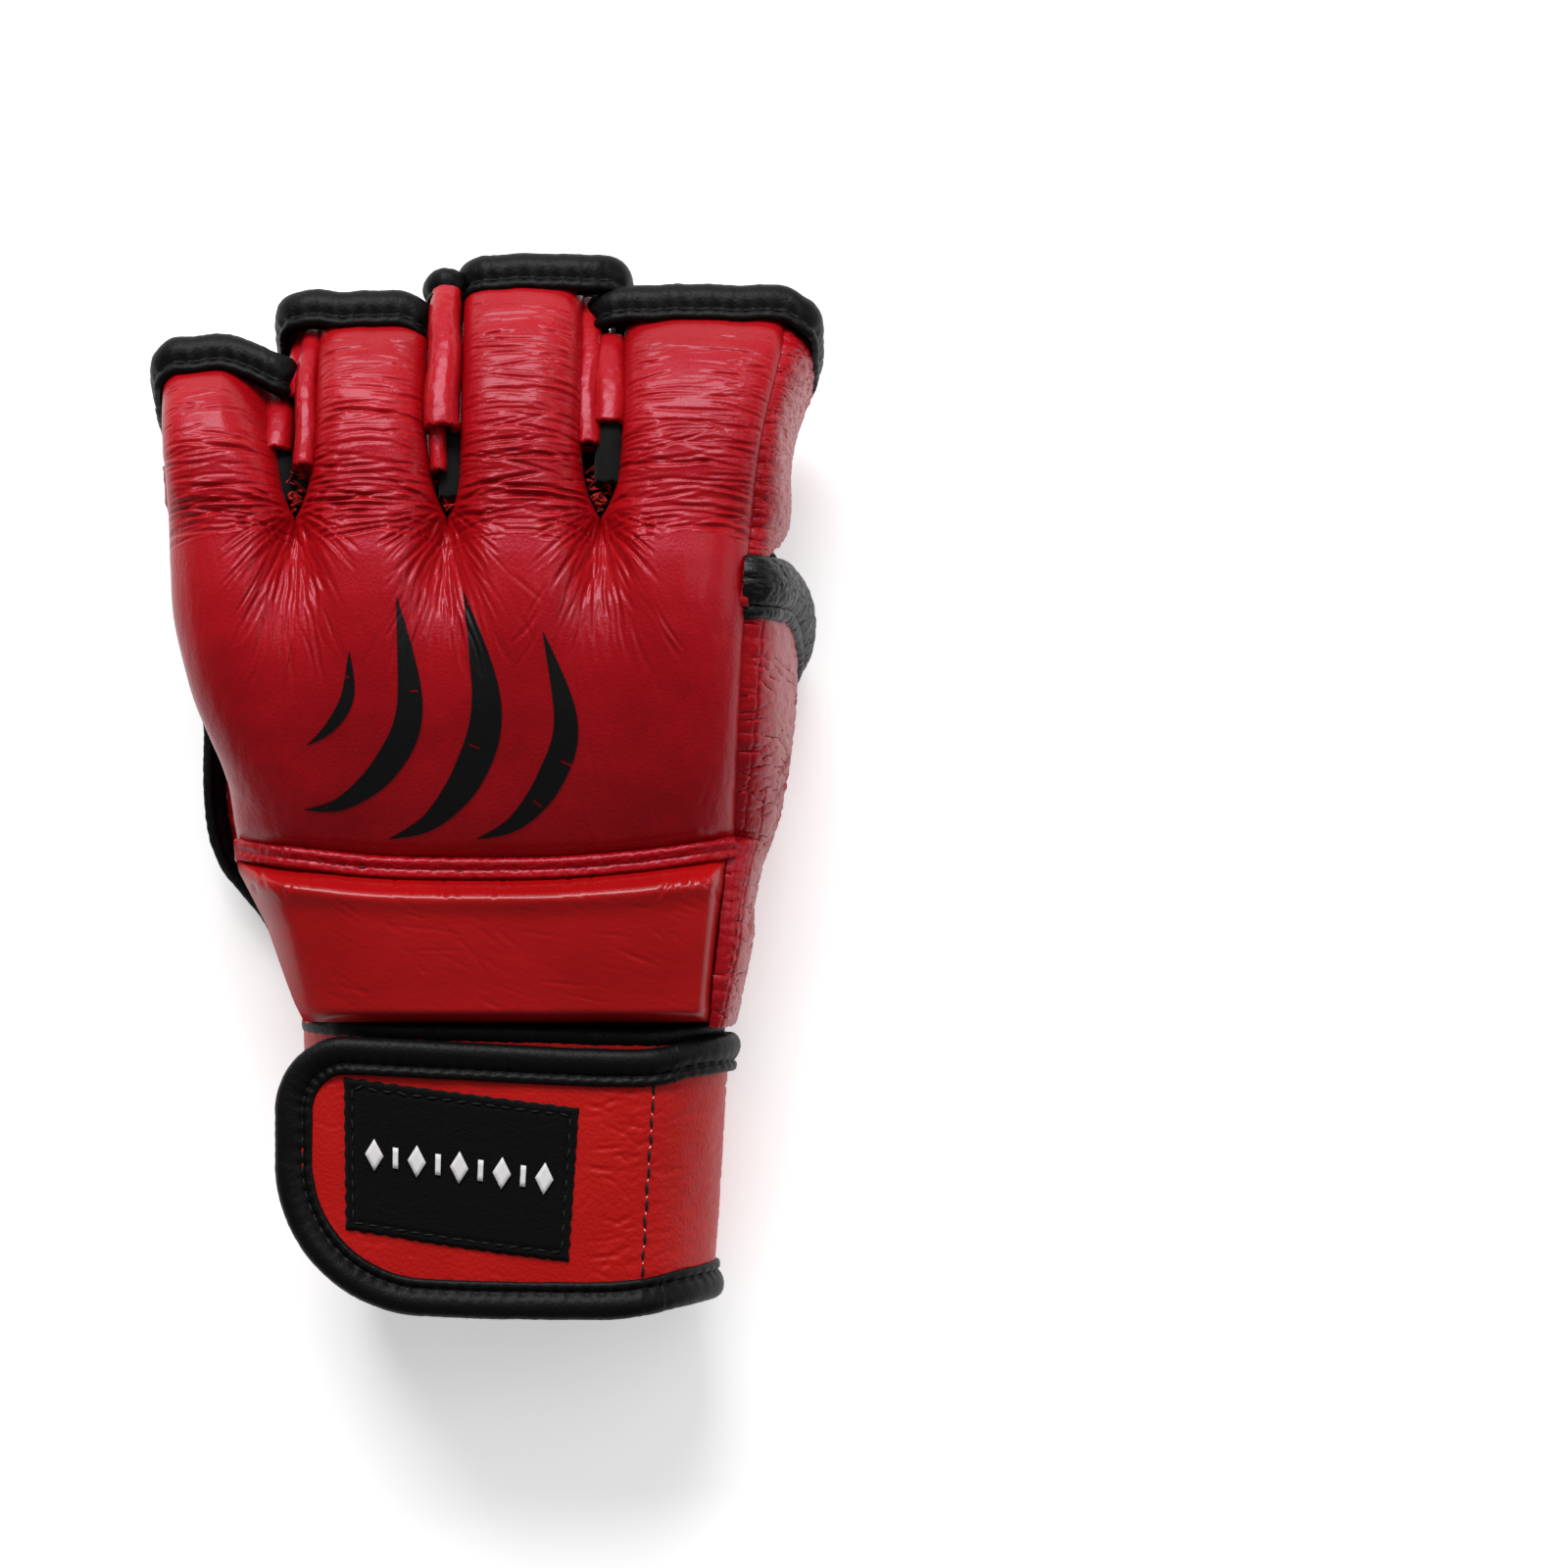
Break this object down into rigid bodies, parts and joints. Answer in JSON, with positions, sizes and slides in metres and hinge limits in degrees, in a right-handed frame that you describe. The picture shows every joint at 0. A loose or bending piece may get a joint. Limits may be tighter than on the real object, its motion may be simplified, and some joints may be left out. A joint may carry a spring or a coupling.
{
  "type": "mixed martial arts glove",
  "caption": "Open-palm, half-finger grappling glove for a left hand: padded knuckles, finger stalls, thumb opening and a double-wrap wrist strap with a hook-and-loop tab.",
  "frame": {"origin": "centre of the bounding box's base, on the table the glove lies on, palm down", "axes": "+X to the thumb's side, +Y from the wrist to the fingers, +Z out of the back of the hand"},
  "size_m": [0.1397, 0.2172, 0.0567],
  "materials": {
    "pad_leather": "glossy grained",
    "side_leather": "glossy grained, creased",
    "strap_leather": "satin grained",
    "binding": "satin, rolled and stitched",
    "lining": "brushed knit",
    "loop_fabric": "looped pile",
    "hook_fabric": "hooked tape",
    "label_fabric": "fuzzy pile",
    "foam": "closed-cell foam",
    "thread": "bonded thread"
  },
  "bodies": {
    "hand": {"knuckle_foam": "foam", "knuckle_cover": "pad_leather", "back_foam": "foam", "back_cover": "pad_leather", "pad_welt": "side_leather", "dorsal_lining": "lining", "ulnar_panel": "side_leather", "radial_gusset": "side_leather", "index_gusset": "side_leather", "palm_cuff": "side_leather", "cuff_binding": "binding", "thenar_panel": "side_leather", "thenar_foam_upper": "pad_leather", "thenar_foam_lower": "pad_leather", "palm_bar": "side_leather", "palm_bar_upper_binding": "binding", "palm_bar_lower_binding": "binding", "ulnar_binding": "binding", "thenar_binding": "binding", "thumb_hole_binding": "binding", "wrist_lining": "lining", "inner_wrap": "strap_leather", "inner_wrap_binding": "binding", "outer_wrap": "strap_leather", "outer_wrap_bindings": "binding", "loop_patch": "loop_fabric"},
    "tab": {"strap_tab": "strap_leather", "tab_binding": "binding", "hook_patch": "hook_fabric", "label_patch": "label_fabric", "tab_stitches": "thread"},
    "little_stall": {"little_foam": "foam", "little_cover": "pad_leather", "little_sleeve": "side_leather", "little_binding": "binding"},
    "ring_stall": {"ring_foam": "foam", "ring_cover": "pad_leather", "ring_sleeve": "side_leather", "ring_binding": "binding"},
    "middle_stall": {"middle_foam": "foam", "middle_cover": "pad_leather", "middle_sleeve": "side_leather", "middle_binding": "binding"},
    "index_stall": {"index_foam": "foam", "index_cover": "pad_leather", "index_sleeve": "side_leather", "index_binding": "binding"}
  },
  "joints": [
    {"name": "tab_lift", "type": "hinge", "parent": "hand", "child": "tab", "pos_m": [0.03042, -0.0816, 0.0436], "axis": [0, 1, 0], "range_deg": [0, 170]},
    {"name": "little_flex", "type": "hinge", "parent": "hand", "child": "little_stall", "pos_m": [-0.05544, 0.0565, 0.045], "axis": [-1, 0, 0], "range_deg": [-20, 12], "stiffness_Nm_per_rad": 0.12},
    {"name": "ring_flex", "type": "hinge", "parent": "hand", "child": "ring_stall", "pos_m": [-0.0258, 0.0565, 0.045], "axis": [-1, 0, 0], "range_deg": [-20, 12], "stiffness_Nm_per_rad": 0.12},
    {"name": "middle_flex", "type": "hinge", "parent": "hand", "child": "middle_stall", "pos_m": [0.00738, 0.0565, 0.045], "axis": [-1, 0, 0], "range_deg": [-20, 12], "stiffness_Nm_per_rad": 0.12},
    {"name": "index_flex", "type": "hinge", "parent": "hand", "child": "index_stall", "pos_m": [0.04746, 0.0565, 0.045], "axis": [-1, 0, 0], "range_deg": [-20, 12], "stiffness_Nm_per_rad": 0.12}
  ]
}
